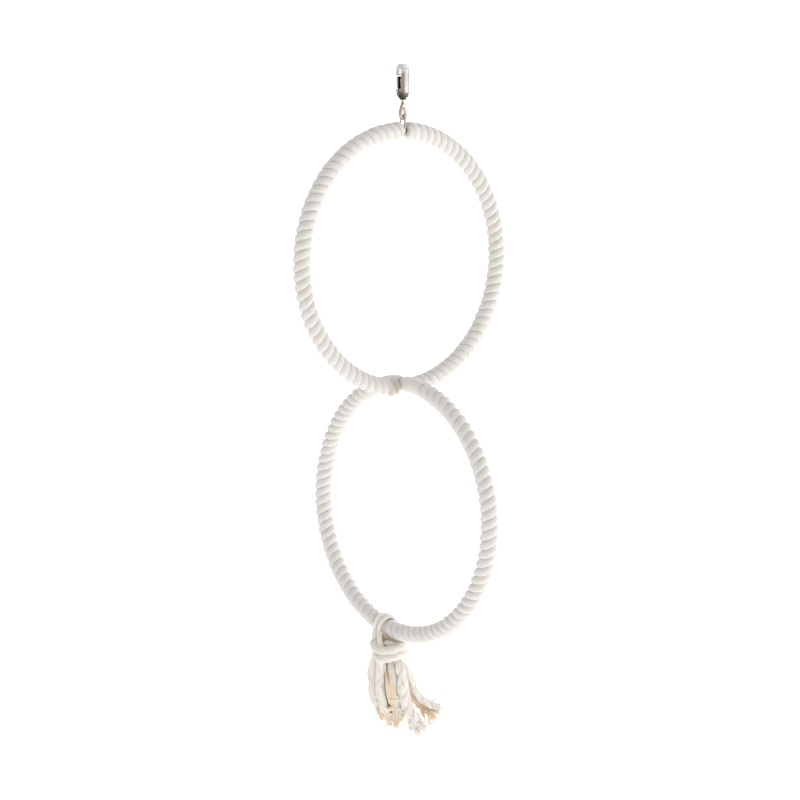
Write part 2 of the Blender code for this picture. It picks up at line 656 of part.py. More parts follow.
def make_collar():
    """Rope bound round the tassel's neck: one open coil."""
    count = round(COLLAR_TURNS * STEPS_PER_LOOP)
    middle = from_neck((0, 0, 0))
    points = []
    for i in range(count + 1):
        turns = i / STEPS_PER_LOOP - COLLAR_LEAD
        turn = 2 * math.pi * turns
        sideways = Vector((math.cos(turn), math.sin(turn), 0)) * COLLAR_RADIUS
        points.append(middle + sideways - Vector((0, 0, COLLAR_PITCH * turns)))
    apart = min((a - b).length for i, a in enumerate(points) for b in points[i + STEPS_PER_LOOP // 2:])
    print(f"knot_binding: least gap between turns {(apart - COLLAR_ROPE) / MM:.2f} mm")
    return finish(tube("knot_binding", points, COLLAR_ROPE, PARTS, resolution=1), COTTON)


def make_tassel():
    pieces = [make_tail(name, *spec) for name, spec in TAILS.items()]
    pieces.extend(make_hitch(name, *spec) for name, spec in HITCHES.items())
    pieces.append(make_collar())
    return pieces


# Assembly


def pivot(name, place, parent=None):
    empty = bpy.data.objects.new(name, None)
    empty.empty_display_size = AXIS_MARK
    PARTS.objects.link(empty)
    empty.matrix_world = Matrix.Translation(place)
    bpy.context.view_layer.update()
    attach(empty, parent)
    return empty


def attach(obj, parent):
    """Parents obj without moving it."""
    if parent:
        obj.parent = parent
        obj.matrix_parent_inverse = parent.matrix_world.inverted()
        bpy.context.view_layer.update()


def build():
    pin_hole = pin_cutter("pin_hole", PIN_RADIUS + GAP, 3 * HOOK_THICKNESS)
    body = make_hook_body(pin_hole)
    gate = make_gate(pin_hole)
    pin = make_gate_pin()
    spring = make_gate_spring()
    eye = make_swivel_eye()
    loop = make_hanger_loop()
    upper, lower = make_rings()
    tassel = make_tassel()

    hanging = pivot("hanging_point", (0, 0, 0))
    gate_axis = pivot("gate_axis", (0, PIVOT_SIDE, PIVOT_Z), hanging)
    swivel_axis = pivot("swivel_axis", (0, 0, BARREL_BOTTOM), hanging)
    loop_axis = pivot("hanger_axis", (0, 0, HANGER_TOP), swivel_axis)
    upper_axis = pivot("upper_ring_axis", (0, 0, UPPER_TOP), loop_axis)
    lower_axis = pivot("lower_ring_axis", (0, 0, UPPER_BOTTOM), upper_axis)
    tassel_axis = pivot("tassel_axis", TASSEL_CENTRE, lower_axis)
    carried = {
        hanging: [body, pin, spring], gate_axis: [gate], swivel_axis: [eye], loop_axis: [loop],
        upper_axis: upper, lower_axis: lower, tassel_axis: tassel,
    }
    for axis, pieces in carried.items():
        for piece in pieces:
            attach(piece, axis)
    print(f"upper ring centre {UPPER_CENTRE / MM:.2f}, lower {LOWER_CENTRE / MM:.2f} mm")
    for axis in carried:
        print(axis.name, [round(value / MM, 3) for value in axis.matrix_world.translation])


build()
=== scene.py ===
"""The rope ring bird swing, dressed for the photograph: wound cotton rope, tassel and nickel fittings."""

import math
from collections import namedtuple

import bpy
import numpy as np
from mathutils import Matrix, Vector


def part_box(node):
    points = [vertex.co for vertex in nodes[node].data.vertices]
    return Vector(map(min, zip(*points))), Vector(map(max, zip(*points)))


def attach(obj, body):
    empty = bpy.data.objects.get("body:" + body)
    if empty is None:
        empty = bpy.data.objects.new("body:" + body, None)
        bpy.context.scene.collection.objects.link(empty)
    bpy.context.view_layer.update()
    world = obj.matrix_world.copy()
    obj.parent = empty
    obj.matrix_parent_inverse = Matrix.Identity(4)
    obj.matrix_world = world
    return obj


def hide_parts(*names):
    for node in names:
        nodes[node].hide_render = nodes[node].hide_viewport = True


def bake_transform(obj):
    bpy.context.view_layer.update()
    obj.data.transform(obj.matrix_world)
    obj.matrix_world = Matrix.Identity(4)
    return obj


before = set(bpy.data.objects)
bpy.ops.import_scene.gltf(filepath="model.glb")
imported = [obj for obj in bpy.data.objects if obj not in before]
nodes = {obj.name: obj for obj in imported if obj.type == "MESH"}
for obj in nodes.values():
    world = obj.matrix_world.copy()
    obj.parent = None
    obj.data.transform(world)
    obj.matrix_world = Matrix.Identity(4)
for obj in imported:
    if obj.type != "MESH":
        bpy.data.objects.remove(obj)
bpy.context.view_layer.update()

MM = 0.001

# Sizes shared with the solids, in metres
HOOP_RADIUS = 0.09375
ROPE_WIDTH = 0.00685
ROPES_WOUND = 2
WINDING_CREST = 0.00645
BORE_RADIUS = 0.0017
HANGER_HALF_GAP = 0.001
CROSSING_HALF_GAP = 0.0072
BAND_START = 0.002
BAND_END = 0.023
BAND_RADIUS = 0.00595
TASSEL_ALONG = 0.0205
NECK_SHIFT = 0.0085
HITCH_RADIUS = 0.00845
HITCH_SPACING = 0.0049
HITCH_ROPE = 0.0032
SIDE_STRAND = 0.0046
NECK_STRAND = 0.003
NECK_CORE = 0.0028
COLLAR_RADIUS = 0.0073
COLLAR_ROPE = 0.0046
COLLAR_PITCH = 0.0051
COLLAR_TURNS = 1.75
COLLAR_LEAD = 0.5
COLLAR_DROP = 0.00355

# The photograph's camera, in metres, with its lens in millimetres
VIEW_TURN = math.radians(-40.8)
VIEW_DIP = math.radians(7.41)
VIEW_AHEAD = Vector((0.653, 0.757, 0))
VIEW_RIGHT = Vector((0.757, -0.653, 0))
CAMERA_LENS = 99.0
CAMERA_SENSOR = 36.0
CAMERA_REACH = 50.0
CAMERA_BACK = 1.6065
CAMERA_LEFT = 0.0025
CAMERA_RISE = 0.10564

# Each light's place, width, power and colour
LIGHTS = {
    "key_light": ((1.1, -0.85, -0.75), 0.7, 5.0, (1.0, 0.99, 0.98)),
    "top_light": ((1.15, -0.45, 1.2), 1.0, 4.5, (1.0, 1.0, 1.0)),
    "panel_light": ((1.31, -1.51, -0.27), 1.15, 5.5, (1.0, 1.0, 1.0)),
    "fill_light": ((-0.9, -1.5, -0.75), 0.9, 2.6, (1.0, 1.0, 1.0)),
}
LIGHTS_AIM = Vector((0, 0, -0.22))
WORLD_STRENGTH = 0.63
SHEET_GLOW = 0.5

# Colours of painted shade and painted highlights, as linear red, green, blue and alpha
# Painted shade on the rope beside the rings' crossing
CROSSING_SHADE_COTTON = (0.50, 0.45, 0.34, 1.0)
# Painted shade, near black, inside the gate's hollow
HOLLOW_SHADE = (0.004, 0.003, 0.003, 1.0)
# Painted highlight: paler, less yellow plating on the hook's side that faces the lamps
LIT_SIDE_PLATE = (0.435, 0.41, 0.413, 1.0)
# Painted highlight: pale plating on the hook's crown
CROWN_HIGHLIGHT_PLATE = (0.70, 0.685, 0.67, 1.0)
# Painted shade at the hook's foot
FOOT_SHADE = (0.07, 0.06, 0.045, 1.0)

# How finely the finishes vary, along and across a rope or inside the material, and how high their
# bumps are
YARN_SCALE = (260.0, 34.0, 1.0)
FIBRE_SCALE = 2600.0
WEAR_SCALE = 55.0
TARNISH_SCALE = 340.0
YARN_RELIEF = 0.00025
STREAK_RELIEF = 0.00003

# Wound rope: the depth between turns, the slack at its ends, its points across and in a turn, the
# rope that a turn takes, and the lengths of the twists of its strands and of its yarn
GROOVE = 0.0018
HANGER_SLACK = 0.0019
BAND_SLACK = 0.0003
CROWN_POINTS = 17
TURN_POINTS = 40
TURN_LENGTH = 0.031
STRAND_LAY = 0.011
YARN_LAY = 0.033

# Its crown: how square it is, how uneven and how high its strands stand; then, as shares of a turn's
# width, how wide half a rope is, how far it wanders and how far from an end it is squeezed
CROWN_POWER = 2.6
UNEVENNESS = 0.0002
STRAND_RELIEF = 0.00005
ROPE_HALF = 0.497
ROPE_WANDER = 0.02
SQUEEZED_SHARE = 0.3

# Served bands: threads in a band, their relief and how far the band's ends draw in
BAND_THREADS = 15
THREAD_RELIEF = 0.00008
BAND_DRAW = 0.14
BAND_ROWS = 90
BAND_SIDES = 40

# How each rope is laid: strands, depth between them, length of one twist and sides of its tube
LAYS = {
    "twisted_tail": (2, 0.4, 0.018, 24),
    "tan_tail": (5, 0.2, 0.05, 24),
    "loose_tail": (4, 0.14, 0.09, 24),
    "hitch": (3, 0.1, 0.03, 22),
    "coil": (3, 0.12, 0.024, 22),
    "wrap": (3, 0.16, 0.024, 26),
    "tucked": (3, 0.15, 0.03, 14),
    "frayed": (2, 0.15, 0.004, 6),
    "curled": (2, 0.2, 0.005, 8),
    "in_knot": (3, 0.2, 0.008, 10),
    "strayed": (2, 0.2, 0.006, 8),
    "wandering": (2, 0.15, 0.006, 7),
}

# Kinds of cut end: how many yarns, how far they splay, their thickness as a share of the rope's radius,
# how many points back their roots lie, how wide and how long they are, and how much they waver
Fray = namedtuple("Fray", "count splay share deep wide length waver")
FRAYS = {
    "blunt": Fray(56, 0.25, 0.22, 4, 0.85, 1.25, 0.02),
    "flared": Fray(96, 0.4, 0.19, 14, 1.3, 1.7, 0.03),
    "core": Fray(60, 0.3, 0.24, 14, 1.2, 1.75, 0.04),
    "tuft": Fray(150, 1.0, 0.2, 18, 1.25, 2.4, 0.08),
}

# Angles, in degrees, that metal facets are smoothed over
HOOK_SMOOTH = 22
METAL_SMOOTH = 35

# Distances within which points merge: a tube's seam and a solid's facets
SEAM_MERGE = 1e-7
FACET_MERGE = 1e-6


# Camera and light


def place_camera():
    """The photograph's view: a long lens, a little above the upper ring and looking down."""
    data = bpy.data.cameras.new("photo_camera")
    data.lens = CAMERA_LENS
    data.sensor_width = CAMERA_SENSOR
    data.clip_end = CAMERA_REACH
    camera = bpy.data.objects.new("photo_camera", data)
    bpy.context.scene.collection.objects.link(camera)
    middle = sum(corner.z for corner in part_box("upper_hoop")) / 2
    height = Vector((0, 0, middle + CAMERA_RISE))
    camera.location = VIEW_AHEAD * -CAMERA_BACK - VIEW_RIGHT * CAMERA_LEFT + height
    camera.rotation_euler = (math.radians(90) - VIEW_DIP, 0, VIEW_TURN)
    bpy.context.scene.camera = camera


def add_light(name, place, size, power, colour):
    data = bpy.data.lights.new(name, "AREA")
    data.shape = "DISK"
    data.size = size
    data.energy = power
    data.color = colour
    lamp = bpy.data.objects.new(name, data)
    bpy.context.scene.collection.objects.link(lamp)
    lamp.location = place
    aim = LIGHTS_AIM - lamp.location
    lamp.rotation_euler = aim.to_track_quat("-Z", "Y").to_euler()


def light_stage():
    world = bpy.data.worlds.new("studio")
    bpy.context.scene.world = world
    world.use_nodes = True
    back = world.node_tree.nodes["Background"]
    back.inputs["Color"].default_value = (1.0, 1.0, 1.0, 1.0)
    back.inputs["Strength"].default_value = WORLD_STRENGTH
    for name, spec in LIGHTS.items():
        add_light(name, *spec)
    bpy.context.scene.view_settings.view_transform = "Standard"


# Shading


class Value:
    """A shader socket that takes arithmetic, adding a Math node for each step."""

    def __init__(self, tree, socket):
        self.tree = tree
        self.socket = socket

    def put(self, target, value):
        if isinstance(value, Value):
            self.tree.links.new(value.socket, target)
        else:
            target.default_value = value

    def node(self, kind, inputs, output=0, **settings):
        made = self.tree.nodes.new(kind)
        for name, setting in settings.items():
            setattr(made, name, setting)
        for name, value in inputs.items():
            self.put(made.inputs[name], value)
        return Value(self.tree, made.outputs[output])

    def maths(self, operation, first, second=0.0):
        return self.node("ShaderNodeMath", {0: first, 1: second}, operation=operation)

    def __add__(self, other):
        return self.maths("ADD", self, other)

    def __radd__(self, other):
        return self.maths("ADD", other, self)

    def __sub__(self, other):
        return self.maths("SUBTRACT", self, other)

    def __rsub__(self, other):
        return self.maths("SUBTRACT", other, self)

    def __mul__(self, other):
        return self.maths("MULTIPLY", self, other)

    def __gt__(self, other):
        return self.maths("GREATER_THAN", self, other)

    def __lt__(self, other):
        return self.maths("LESS_THAN", self, other)

    def clamped(self):
        return self.node("ShaderNodeClamp", {"Value": self})

    def axis(self, index):
        """One coordinate of this place: 0, 1 or 2 for X, Y or Z."""
        return self.node("ShaderNodeSeparateXYZ", {"Vector": self}, index)

    def mixed(self, first, second):
        """The first colour where this is 0 and the second where it is 1."""
        return self.node("ShaderNodeMix", {"Factor": self, 6: first, 7: second}, 2, data_type="RGBA")


class Finish:
    """A named material with its Principled shader and the coordinates it reads."""

    def __init__(self, name, roughness, metallic=0.0):
        self.material = bpy.data.materials.new(name)
        self.material.use_nodes = True
        tree = self.material.node_tree
        self.shader = tree.nodes["Principled BSDF"]
        start = Value(tree, None)
        self.inside = start.node("ShaderNodeTexCoord", {}, "Object")
        self.on_rope = start.node("ShaderNodeTexCoord", {}, "UV")
        self.set("Roughness", roughness)
        self.set("Metallic", metallic)

    def set(self, name, value):
        self.inside.put(self.shader.inputs[name], value)

    def noise(self, place, scale, detail=3.0, roughness=0.55):
        inputs = {"Vector": place, "Scale": scale, "Detail": detail, "Roughness": roughness}
        return self.inside.node("ShaderNodeTexNoise", inputs)

    def stretched(self, place, scale):
        return self.inside.node("ShaderNodeMapping", {"Vector": place, "Scale": scale})

    def bump(self, height, distance, strength=1.0):
        inputs = {"Height": height, "Distance": distance, "Strength": strength}
        self.set("Normal", self.inside.node("ShaderNodeBump", inputs))


def rope_finish(name, pale, deep, strands, lines, sheen, crossing_shade=None):
    """Soft rope: yarn along the strands, deeper lines of painted shade between them and patches of wear.

    The last argument gives the ends, along X and then along Z, of a patch of painted shade beside the
    rings' crossing.
    """
    finish = Finish(name, 0.9)
    yarn = finish.noise(finish.stretched(finish.on_rope, YARN_SCALE), 1.0, 4.0, 0.7)
    fibre = finish.noise(finish.inside, FIBRE_SCALE, 2.0, 0.6)
    patch = finish.noise(finish.inside, WEAR_SCALE, 3.0, 0.5)
    # Painted shade: the colour darkens between the strands, as far as lines says
    phase = finish.on_rope.axis(1) * (math.pi * strands)
    ridge = phase.maths("COSINE", phase)
    groove_shade = 1 - ridge.maths("ABSOLUTE", ridge)
    shade = groove_shade * groove_shade * lines + yarn * 0.3 + patch * 0.35 - 0.12
    colour = shade.clamped().mixed((*pale, 1.0), (*deep, 1.0))
    # Painted shade: a darker patch on the winding beside the rings' crossing, where the rings shade each
    # other
    if crossing_shade:
        crossing_shade_mask = 0.35 + patch * 0.5
        for index, (low, high) in zip((0, 2), crossing_shade):
            place = finish.inside.axis(index)
            crossing_shade_mask = crossing_shade_mask * (place > low) * (place < high)
        colour = crossing_shade_mask.mixed(colour, CROSSING_SHADE_COTTON)
    finish.set("Base Color", colour)
    finish.set("Sheen Weight", sheen)
    finish.set("Sheen Roughness", 0.6)
    finish.set("Roughness", 0.82 + fibre * 0.16)
    finish.bump(yarn * 0.7 + fibre * 0.5, YARN_RELIEF)
    return finish.material


def metal_finish(name, colour, tarnish, roughness, streaks, hollow=None, shade_below=None, highlight_above=None,
                 lit_side=None):
    """Plated wire and castings: polishing streaks and tarnish in patches.

    hollow gives a hollow's two ends along X and how far along Y it goes, painted near black as shade; the
    next argument gives the height that painted shade at the foot starts at and how far below it is full;
    the one after gives the height that a painted highlight of pale plating starts at and how far above it
    is full; the last gives the Y that a side painted paler, as a highlight, lies below.
    """
    finish = Finish(name, roughness, 1.0)
    patch = finish.noise(finish.inside, TARNISH_SCALE, 4.0, 0.6)
    streak = finish.noise(finish.stretched(finish.inside, streaks), 1.0, 2.0, 0.5)
    dull = (patch * 1.6 - 0.55).clamped()
    shade = dull.mixed((*colour, 1.0), (*tarnish, 1.0))
    # Painted shade: the hollow is painted near black, where shade falls in it
    if hollow:
        across = finish.inside.axis(0)
        hollow_shade_mask = (across > hollow[0]) * (across < hollow[1]) * (finish.inside.axis(1) < hollow[2])
        shade = hollow_shade_mask.mixed(shade, HOLLOW_SHADE)
    # Painted highlight: the side that faces the lamps at the front right is painted in paler plating
    if lit_side:
        shade = (finish.inside.axis(1) < lit_side).mixed(shade, LIT_SIDE_PLATE)
    # Painted shade: the hook darkens towards its foot, where the link and the gate's pin shade it
    if shade_below:
        low = ((shade_below[0] - finish.inside.axis(2)) * (1 / shade_below[1])).clamped()
        shade = low.mixed(shade, FOOT_SHADE)
    # Painted highlight: above the given height the crown is painted pale and made less metallic
    if highlight_above:
        high = ((finish.inside.axis(2) - highlight_above[0]) * (1 / highlight_above[1])).clamped()
        shade = high.mixed(shade, CROWN_HIGHLIGHT_PLATE)
        finish.set("Metallic", 1 - high * 0.75)
    finish.set("Base Color", shade)
    finish.set("Roughness", roughness - 0.06 + streak * 0.12 + dull * 0.1)
    finish.bump(streak, STREAK_RELIEF, 0.5)
    return finish.material


# Rope meshes


def rolled_grid(name, places, pattern):
    """A grid rolled into a closed tube. places and pattern hold rows of points and of UVs."""
    rows, columns = places.shape[:2]
    bpy.ops.object.select_all(action="DESELECT")
    bpy.ops.mesh.primitive_grid_add(x_subdivisions=columns - 1, y_subdivisions=rows - 1, size=1.0)
    piece = bpy.context.object
    piece.name = name
    piece.data.name = name
    mesh = piece.data
    flat = np.empty(len(mesh.vertices) * 3)
    mesh.vertices.foreach_get("co", flat)
    flat = flat.reshape(-1, 3)
    column = np.rint((flat[:, 0] + 0.5) * (columns - 1)).astype(int)
    row = np.rint((flat[:, 1] + 0.5) * (rows - 1)).astype(int)
    mesh.vertices.foreach_set("co", places[row, column].ravel())
    corner = np.empty(len(mesh.loops), int)
    mesh.loops.foreach_get("vertex_index", corner)
    mesh.uv_layers.active.data.foreach_set("uv", pattern[row, column][corner].ravel())
    bpy.ops.object.mode_set(mode="EDIT")
    bpy.ops.mesh.select_all(action="SELECT")
    bpy.ops.mesh.remove_doubles(threshold=SEAM_MERGE)
    bpy.ops.mesh.select_all(action="DESELECT")
    bpy.ops.mesh.select_non_manifold()
    bpy.ops.mesh.fill_holes(sides=0)
    bpy.ops.mesh.select_all(action="SELECT")
    bpy.ops.mesh.normals_make_consistent(inside=False)
    bpy.ops.object.mode_set(mode="OBJECT")
    bpy.ops.object.shade_smooth()
    return piece


def joined(name, pieces):
    bpy.ops.object.select_all(action="DESELECT")
    for piece in pieces:
        piece.select_set(True)
    bpy.context.view_layer.objects.active = pieces[0]
    bpy.ops.object.join()
    pieces[0].name = name
    pieces[0].data.name = name
    return pieces[0]


def dressed(piece, material, body, slot, *replaced):
    """Gives a piece its material, its body where it has just one, and hides the solids it replaces; its
    slot argument is not used.
    """
    piece.data.materials.clear()
    piece.data.materials.append(material)
    if body:
        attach(piece, body)
    if replaced:
        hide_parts(*replaced)
    return piece


class Ring:
    """A hoop's circle, with points placed along it, out from its wire and round the wire."""

    def __init__(self, hoop, sideways):
        low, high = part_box(hoop)
        self.centre = np.array((low + high) / 2)
        self.sideways = np.array(sideways, float)
        self.up = np.array((0.0, 0.0, 1.0))
        self.normal = np.cross(self.up, self.sideways)

    def outward(self, along):
        angle = np.asarray(along)[..., None] / HOOP_RADIUS
        return self.sideways * np.cos(angle) + self.up * np.sin(angle)

    def on_tube(self, along, radius, turn):
        out = self.outward(along)
        offset = out * np.cos(turn)[..., None] + self.normal * np.sin(turn)[..., None]
        return self.centre + out * HOOP_RADIUS + offset * np.asarray(radius)[..., None]


UPPER = Ring("upper_hoop", (1, 0, 0))
LOWER = Ring("lower_hoop", (0, 1, 0))
QUARTER = HOOP_RADIUS * math.pi / 2


def slow_wander(at, seed):
    """A smooth irregular value near -1 to 1, for rope that isn't laid by machine."""
    return (np.sin(at * 1.0 + seed) + np.sin(at * 0.37 + 2.1 * seed) + np.sin(at * 2.3 + 0.7 * seed)) / 3


def wound_rope(name, ring, start, end, seed, body, node):
    """Two ropes laid side by side round and round a hoop, squeezed flat at the winding's ends."""
    ridges = round((end - start) / ROPE_WIDTH)
    pitch = (end - start) / ridges
    across = np.concatenate([np.linspace(-1, 1, CROWN_POINTS), [1, 0, -1, -1]])[None, :]
    order = np.arange(across.size)
    is_crown = (order < CROWN_POINTS) | (order == across.size - 1)
    ropes = []
    for rope in range(ROPES_WOUND):
        first = -(rope + 0.85) / ROPES_WOUND
        last = (ridges - rope - 0.15) / ROPES_WOUND
        turns = np.linspace(first, last, round((last - first) * TURN_POINTS))[:, None]
        run = turns * TURN_LENGTH
        centre = start + pitch * (rope + 0.5 + ROPES_WOUND * turns)
        wander = slow_wander(centre / pitch * 0.8 + turns * 2 * math.pi, seed)
        centre = centre + ROPE_WANDER * pitch * wander
        along = np.clip(centre + ROPE_HALF * pitch * across, start, end)
        lay = np.cos(2 * math.pi * run / STRAND_LAY + across * 1.2)
        swell = UNEVENNESS * slow_wander(turns * 3.1, seed + 3 + rope) + STRAND_RELIEF * lay
        skin = WINDING_CREST - GROOVE * np.abs(across) ** CROWN_POWER + swell
        inset = np.minimum(along - start, end - along) / (SQUEEZED_SHARE * pitch)
        skin = skin - 0.5 * GROOVE * (1 - np.clip(inset, 0, 1)) ** 2
        radius = np.where(is_crown, skin, BORE_RADIUS + 0 * skin)
        places = ring.on_tube(along, radius, 2 * math.pi * turns + 0 * across)
        pattern = np.stack([run + 0 * across, across * 0.2 - run / YARN_LAY], axis=-1)
        ropes.append(rolled_grid(f"{name}_{rope}", places, pattern))
    dressed(joined(name, ropes), COTTON, body, "cotton_rope", node)


def cotton_band(name, start, end, node):
    """A band of thread served tightly round the wire, drawn in at both ends."""
    share = np.linspace(0, 1, BAND_ROWS)[:, None]
    around = np.linspace(0, 2 * math.pi, BAND_SIDES + 1)[None, :]
    threads = share * BAND_THREADS - around / (2 * math.pi)
    ridge = THREAD_RELIEF * np.cos(threads * 2 * math.pi)
    draw = BAND_DRAW * np.abs(2 * share - 1) ** 7
    radius = BAND_RADIUS * (1 - draw) + ridge
    places = LOWER.on_tube(start + (end - start) * share + 0 * around, radius, around + 0 * share)
    back = share[::10] + 0 * around
    bore = LOWER.on_tube(end + (start - end) * back, BORE_RADIUS + 0 * back, around + 0 * back)
    places = np.concatenate([places, bore, places[:1]])
    runs = np.linspace(0, 0.05, len(places))[:, None]
    pattern = np.stack([around * BAND_RADIUS + 0 * runs, runs * 40 + 0 * around], axis=-1)
    dressed(rolled_grid(name, places, pattern), BAND_COTTON, "lower_ring", "band_cotton", node)


def smooth_route(points, count):
    """Points spread evenly along a Catmull-Rom curve through the given points."""
    knots = [np.array(p, float) for p in points]
    knots = [2 * knots[0] - knots[1], *knots, 2 * knots[-1] - knots[-2]]
    fine = []
    for a, b, c, d in zip(knots, knots[1:], knots[2:], knots[3:]):
        for t in np.linspace(0, 1, 16, endpoint=False):
            fine.append(0.5 * (2 * b + (c - a) * t + (2 * a - 5 * b + 4 * c - d) * t ** 2
                               + (3 * b - a - 3 * c + d) * t ** 3))
    fine.append(knots[-2])
    fine = np.array(fine)
    run = run_along(fine)
    at = np.linspace(0, run[-1], count)
    return np.stack([np.interp(at, run, fine[:, axis]) for axis in range(3)], axis=1)


def run_along(path):
    """How far along a path each of its points is."""
    return np.concatenate([[0], np.cumsum(np.linalg.norm(np.diff(path, axis=0), axis=1))])


def directions(path):
    """The way ahead at each point of a path."""
    ahead = np.gradient(path, axis=0)
    return ahead / np.linalg.norm(ahead, axis=1)[:, None]


def steady_frames(path):
    """Two directions across the path at each point, carried along it without turning."""
    ahead = directions(path)
    first = np.cross(ahead[0], (0.31, 0.83, 0.47))
    side = []
    for direction in ahead:
        first = first - direction * first.dot(direction)
        first = first / np.linalg.norm(first)
        side.append(first)
    side = np.array(side)
    return side, np.cross(ahead, side)


def strand_share(turn, strands, depth):
    """How far out a rope's skin is at an angle: full on a strand's back, less between strands."""
    return 1 - depth * (1 - np.abs(np.cos(turn * strands / 2))) ** 2


def swept_rope(name, path, radius, laid, ends=(0.6, 0.6), frames=None, wide=1.0):
    """A rope along a path, laid in one of the ways in LAYS.

    ends say how far each end is rounded; frames give directions across the path, wide along the second.
    """
    strands, depth, lay, sides = LAYS[laid]
    side, over = frames or steady_frames(path)
    run = run_along(path)[:, None]
    around = np.linspace(0, 2 * math.pi, sides + 1)[None, :]
    twist = run / lay * 2 * math.pi
    radius = np.broadcast_to(np.asarray(radius, float).reshape(-1, 1), run.shape)
    cap = 1.0
    for distance, rounded in ((run, ends[0]), (run[-1] - run, ends[1])):
        near = np.clip(distance / radius.max() / rounded, 0.06, 1)
        cap = cap * np.sqrt(np.clip(1 - (1 - near) ** 2, 0, 1))
    reach = radius * cap * strand_share(around - twist, strands, depth)
    wide = np.broadcast_to(np.asarray(wide, float).reshape(-1, 1), run.shape)
    offset = ((np.cos(around) / wide)[..., None] * side[:, None, :]
              + (np.sin(around) * wide)[..., None] * over[:, None, :])
    places = path[:, None, :] + offset * reach[..., None]
    pattern = np.stack([run + 0 * around, (around - twist) / (2 * math.pi) * 3 / strands], axis=-1)
    return rolled_grid(name, places, pattern)


# Tassel


def below_ring(along):
    """The centre of the lower hoop's wire, at a distance along it from the lowest point."""
    return LOWER.centre + LOWER.outward(along - QUARTER) * HOOP_RADIUS


NECK_CENTRE = below_ring(TASSEL_ALONG - NECK_SHIFT)
COLLAR_TOP = NECK_CENTRE[2] - HITCH_RADIUS - COLLAR_DROP

# The tails' slots, widths, widths in the neck and routes, as in the solids: millimetres right, back
# and down from the collar
TAILS = {
    "tail_left_outer": ("cotton_rope", 6.0, SIDE_STRAND, [
        (-12.6, -1.5, 3), (-13.2, -2, 8.5), (-14.6, -2.2, 15), (-15.1, -2.2, 24), (-14.5, -2, 35),
        (-12.1, -1.6, 44.5), (-7.3, -1.2, 52)]),
    "tail_left_front": ("cotton_rope", 6.4, SIDE_STRAND, [
        (-8.3, -8.6, 3), (-8.6, -8.8, 8.5), (-9.2, -7.8, 15), (-9.3, -7.2, 24), (-8.7, -6.8, 35),
        (-6.3, -6.4, 45.5), (-2.1, -5.8, 53.5)]),
    "tail_left_tan": ("tan_fibre", 4.6, NECK_STRAND, [
        (-3.04, 0.99, 0.95), (-3.1, 1, 9.6), (-4.6, -0.4, 15.5), (-4.4, -3, 24), (-3.8, -2.8, 35),
        (-1.8, -2.4, 45.5), (1.9, -1.6, 54)]),
    "tail_middle": ("cotton_rope", 6.0, NECK_STRAND, [
        (-1.88, -2.59, 0.95), (-1.9, -2.7, 9.6), (-0.6, -5, 16.5), (0.6, -6.6, 24), (1.1, -6.7, 35),
        (2.3, -6.5, 44.5), (5.1, -6, 52.5)]),
    "tail_middle_tan": ("tan_fibre", 4.4, NECK_CORE, [
        (0, 0, 0.95), (0, 0.2, 9.6), (1.2, 1.6, 17), (5.1, 2, 26), (11.1, 2.8, 36), (17.5, 4, 44),
        (23.7, 5.2, 49.5), (29.7, 5.6, 53)]),
    "tail_front": ("cotton_rope", 7.4, NECK_STRAND, [
        (1.88, -2.59, 0.95), (2.2, -3, 9.6), (5.6, -7, 16.5), (7.5, -8.3, 24), (8.4, -8.3, 35),
        (11.2, -7.8, 45.5), (15.2, -7.2, 54.5), (20.4, -6.6, 63)]),
    "tail_right": ("cotton_rope", 5.4, NECK_STRAND, [
        (3.04, 0.99, 2), (3.6, 0.8, 9), (8.1, -0.6, 16), (12.9, -0.6, 24), (16.1, -0.4, 34),
        (21.2, 0, 41.5), (27.7, 0.4, 46), (34.2, 0.8, 48.5)]),
    "tail_back": ("cotton_rope", 5.6, NECK_STRAND, [
        (0, 3.2, 2), (0.2, 3.5, 9.6), (0.6, 7, 16.5), (2.3, 8.2, 27), (4.1, 8.2, 38.5),
        (6.3, 7.8, 48.5)]),
}
TAIL_POINTS = 90
TWISTED_TAILS = ("tail_front", "tail_right", "tail_back")
CORED_TAILS = ("tail_left_outer", "tail_left_front", "tail_middle")
FULL_TAILS = ("tail_front", "tail_middle_tan")
CURLED_TAILS = ("tail_left_outer", "tail_left_front", "tail_left_tan", "tail_middle")

# The hitched ropes' legs, in the same measures, with the tail that each near leg runs into
HITCHES = {
    "hitch_rope_left": (1, "tail_left_outer", [(-12.7, -1.3, 0.2), (-13.4, 0.4, -5.5)],
                        [(0, 3.2, 1.7), (-0.1, 3.4, -1.5), (-0.3, 4.5, -3.7), (-0.9, 9.2, -4.6)]),
    "hitch_rope_right": (-1, "tail_left_front", [(-8.4, -8.3, 0.2), (-9.6, -5.0, -5.5)],
                         [(3.04, 0.99, 1.7), (3.1, 1.3, -1.5), (3.15, 2.75, -4.0), (3.25, 6.0, -5.0)]),
}

# The hitched ropes' distance from the wire as pressed on the winding, how far round it they lie, in
# degrees, and how much wider they are there
PRESSED_RADIUS = 0.0079
PRESSED_TURN = 100
PRESSED_WIDER = 0.28
PRESSED_STEP = 20
HITCH_POINTS = 120

# Their near legs: how far below the ring they are full, how full, and how they slip inside a tail
LEG_SWELL = 0.012
LEG_FULLNESS = 1.06
SLIP_LENGTH = 0.004
SLIP_THINNER = 0.0006

